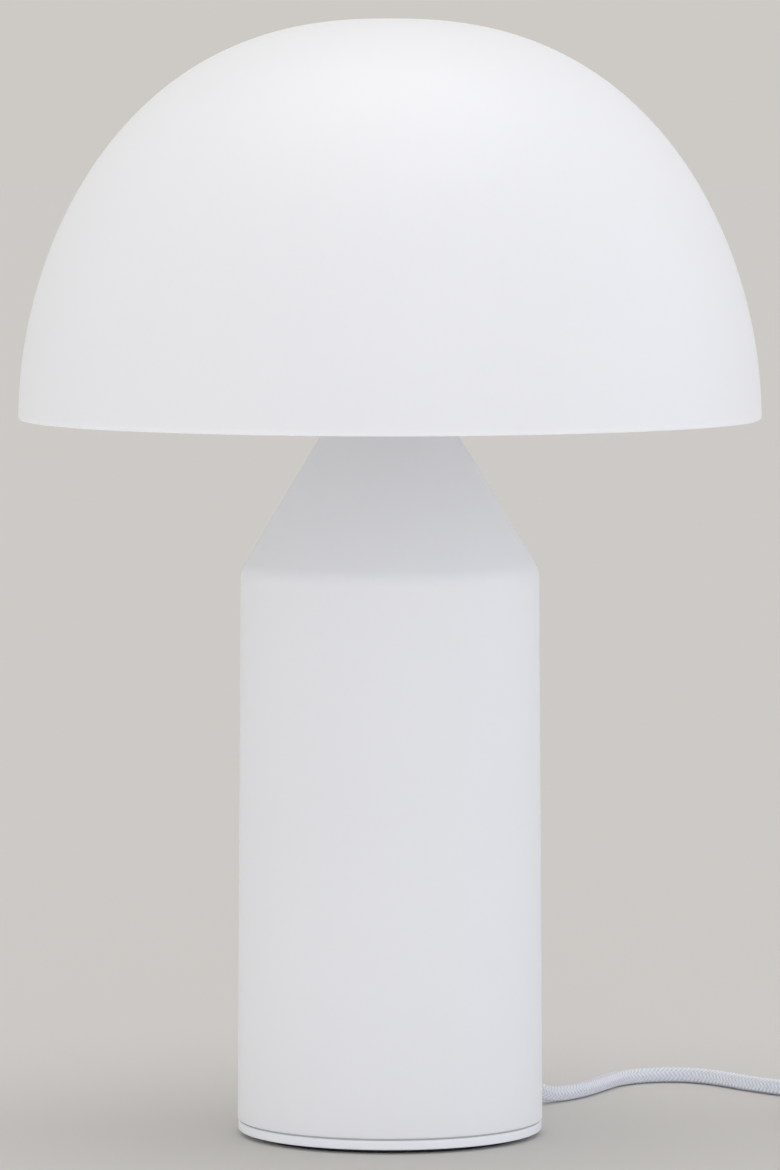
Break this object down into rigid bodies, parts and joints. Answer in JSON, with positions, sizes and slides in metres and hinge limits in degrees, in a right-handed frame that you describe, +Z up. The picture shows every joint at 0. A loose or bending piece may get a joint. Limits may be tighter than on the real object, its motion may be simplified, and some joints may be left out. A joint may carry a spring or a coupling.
{
  "type": "table lamp",
  "caption": "Mushroom table lamp: a dome shade of opal glass over a cylindrical opal glass body, with a braided mains cord, in-line switch and plug.",
  "frame": {"origin": "on the lamp's vertical axis, on the table under the foot pad", "axes": "+Z up along the lamp's axis; -Y towards the viewer of the picture; +X to the viewer's right, where the cord leaves"},
  "size_m": [0.4252, 0.3017, 0.452],
  "materials": {
    "opal_glass": "satin opal",
    "rubber": "matte",
    "clear_seal": "matte",
    "white_steel": "semi-gloss",
    "iron": "cast",
    "zinc_steel": "zinc plated",
    "silicone": "matte",
    "holder_plastic": "gloss",
    "ceramic": "matte",
    "brass": "satin",
    "bulb_cap": "satin",
    "bulb_collar": "gloss",
    "bulb_glass": "opal",
    "white_plastic": "semi-gloss",
    "nylon": "matte",
    "cord": "braided textile",
    "wire_brown": "matte",
    "strap": "woven",
    "pin_metal": "nickel plated"
  },
  "bodies": {
    "lamp": {"foot_pad": "rubber", "base_plate": "white_steel", "ballast_ring": "iron", "ballast_screws": "zinc_steel", "body_gasket": "clear_seal", "glass_body": "opal_glass", "centre_tube": "zinc_steel", "tube_nuts": "zinc_steel", "tube_washers": "zinc_steel", "neck_gasket": "clear_seal", "neck_cap": "white_steel", "carrier_hub": "white_steel", "carrier_arms": "white_steel", "carrier_tips": "silicone", "dome_holder_cap": "holder_plastic", "dome_holder_skirt": "holder_plastic", "dome_holder_core": "ceramic", "dome_holder_thread": "brass", "dome_holder_contacts": "brass", "body_lamp_bracket": "zinc_steel", "body_holder_nipple": "zinc_steel", "body_holder_cap": "holder_plastic", "body_holder_skirt": "holder_plastic", "body_holder_core": "ceramic", "body_holder_thread": "brass", "body_holder_contacts": "brass", "cord_clamp": "nylon", "fixing_screws": "zinc_steel", "cord_bushing": "white_plastic", "bushing_nut": "nylon", "cord_entry": "cord", "terminal_block": "nylon", "terminal_sleeves": "brass", "terminal_screws": "zinc_steel", "supply_wires": "wire_brown", "riser_wires": "wire_brown", "body_lamp_wires": "wire_brown", "switch_base": "white_plastic", "switch_cover": "white_plastic", "switch_pin": "zinc_steel", "switch_terminals": "brass", "switch_screws": "zinc_steel", "cord_lead": "cord", "cord_tail": "cord", "cord_coil": "cord", "cord_plug_end": "cord", "coil_tie": "strap", "plug_body": "white_plastic", "plug_pins": "pin_metal"},
    "shade": {"glass_shade": "opal_glass"},
    "dome_bulb": {"dome_bulb_globe": "bulb_glass", "dome_bulb_collar": "bulb_collar", "dome_bulb_cap": "bulb_cap", "dome_bulb_contact": "brass"},
    "body_bulb": {"body_bulb_tube": "bulb_glass", "body_bulb_collar": "bulb_collar", "body_bulb_cap": "bulb_cap", "body_bulb_contact": "brass"},
    "rocker": {"switch_rocker": "white_plastic"}
  },
  "joints": [
    {"name": "shade_lift", "type": "slide", "parent": "lamp", "child": "shade", "axis": [0, 0, 1], "range_m": [0, 0.2]},
    {"name": "dome_bulb_unscrew", "type": "slide", "parent": "lamp", "child": "dome_bulb", "axis": [0, 0, 1], "range_m": [0, 0.026]},
    {"name": "body_bulb_unscrew", "type": "slide", "parent": "lamp", "child": "body_bulb", "axis": [0, 0, 1], "range_m": [0, 0.024]},
    {"name": "rocker_tilt", "type": "hinge", "parent": "lamp", "child": "rocker", "pos_m": [0.182, 0.035, 0.0135], "axis": [1, 0, 0], "range_deg": [-14, 0]}
  ]
}
